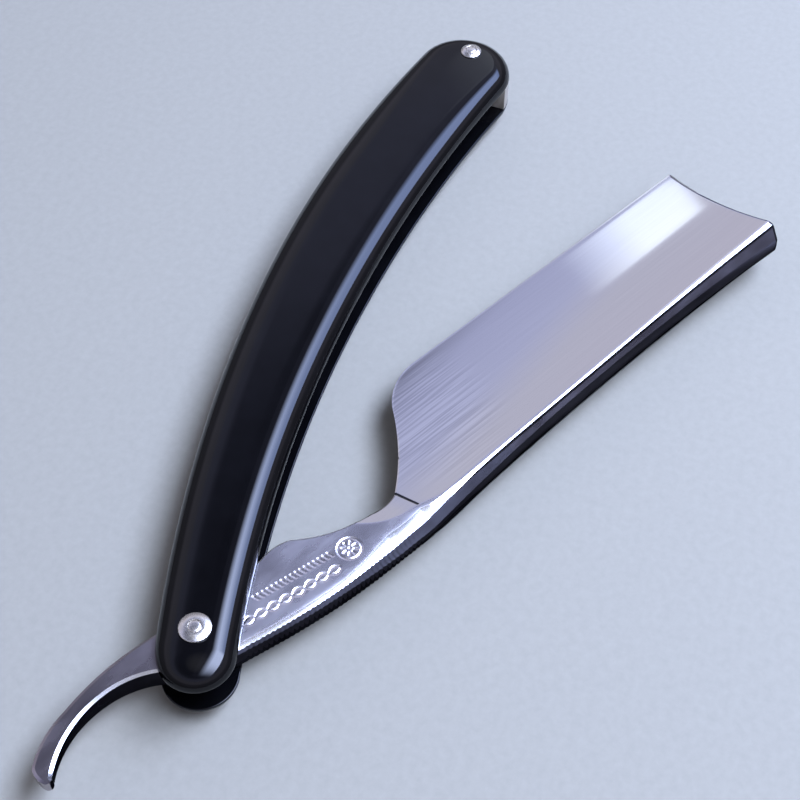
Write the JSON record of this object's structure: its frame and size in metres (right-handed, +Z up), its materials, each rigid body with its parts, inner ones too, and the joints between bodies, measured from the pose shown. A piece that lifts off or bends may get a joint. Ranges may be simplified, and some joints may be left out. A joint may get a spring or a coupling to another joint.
{
  "type": "straight razor",
  "caption": "Folding straight razor, half open: a wide hollow-ground steel blade with a curled tail, pivoting between black scales on a collared pin.",
  "frame": {"origin": "on the pivot pin's axis, on the plane that the lower pin heads rest on", "axes": "+X along the handle, from the pivot pin to the wedge pin; +Z up along the pins; the handle's mouth, which the blade leaves, is towards -Y and its rounded back is towards +Y"},
  "size_m": [0.167, 0.0829, 0.0128],
  "materials": {
    "scale_acrylic": "polished black acrylic with softly rounded edges",
    "wedge_plastic": "pale ivory plastic, satin",
    "nickel_silver": "polished nickel silver, warm white",
    "washer_brass": "thin flat brass, plain",
    "blade_steel": "carbon steel: mirror-polished hollow and bevels, satin shank and tail"
  },
  "bodies": {
    "handle": {"front_scale": "scale_acrylic", "back_scale": "scale_acrylic", "wedge": "wedge_plastic", "pivot_pin": "nickel_silver", "wedge_pin": "nickel_silver", "front_pivot_collar": "nickel_silver", "back_pivot_collar": "nickel_silver", "front_wedge_collar": "nickel_silver", "back_wedge_collar": "nickel_silver", "front_tang_washer": "washer_brass", "back_tang_washer": "washer_brass"},
    "blade": {"blade": "blade_steel"}
  },
  "joints": [
    {"name": "blade_pivot", "type": "hinge", "parent": "handle", "child": "blade", "pos_m": [0, 0, 0.0064], "axis": [0, 0, 1], "range_deg": [-298, 24]}
  ]
}
